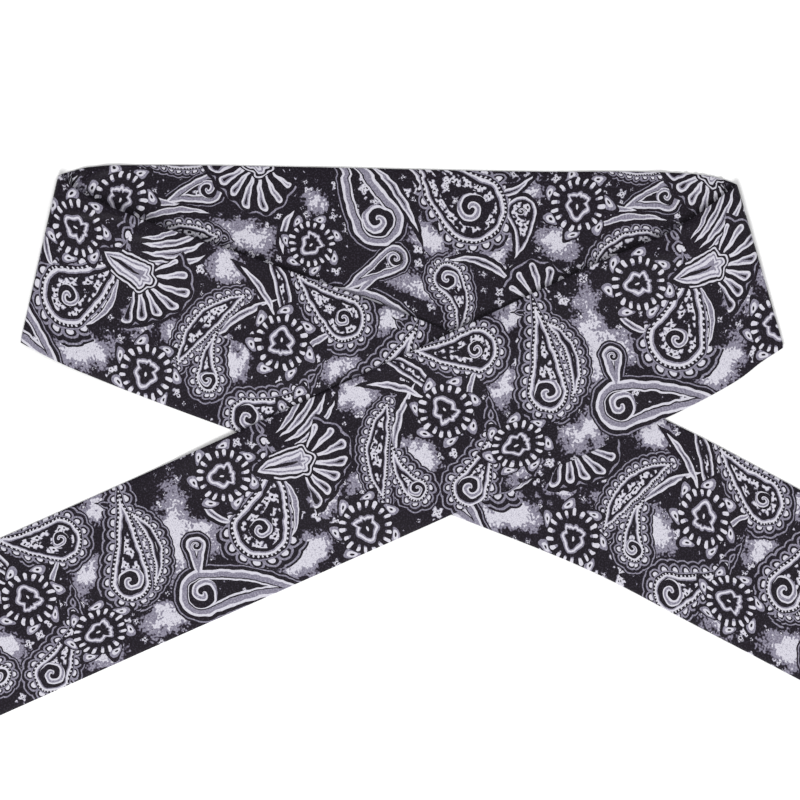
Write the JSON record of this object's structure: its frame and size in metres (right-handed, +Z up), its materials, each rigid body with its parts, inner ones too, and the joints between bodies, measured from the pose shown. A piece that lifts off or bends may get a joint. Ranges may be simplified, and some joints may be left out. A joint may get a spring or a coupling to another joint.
{
  "type": "skinny scarf",
  "caption": "Narrow flat silk scarf laid out in an open neck loop, folded over at both ends of the band, with its long tails crossed in front and running out to the sides.",
  "frame": {"origin": "on the surface the scarf lies on, below the middle of its bounding box", "axes": "+Z up from the surface, +Y towards the neck band, +X towards the right tail's end"},
  "size_m": [0.8094, 0.3254, 0.0061],
  "materials": {
    "silk": "printed silk twill with a soft low sheen, black ground with lilac-grey and off-white paisley and flowers"
  },
  "bodies": {
    "root": {"neck_band": "silk", "right_tail": "silk", "left_tail": "silk"}
  },
  "joints": []
}
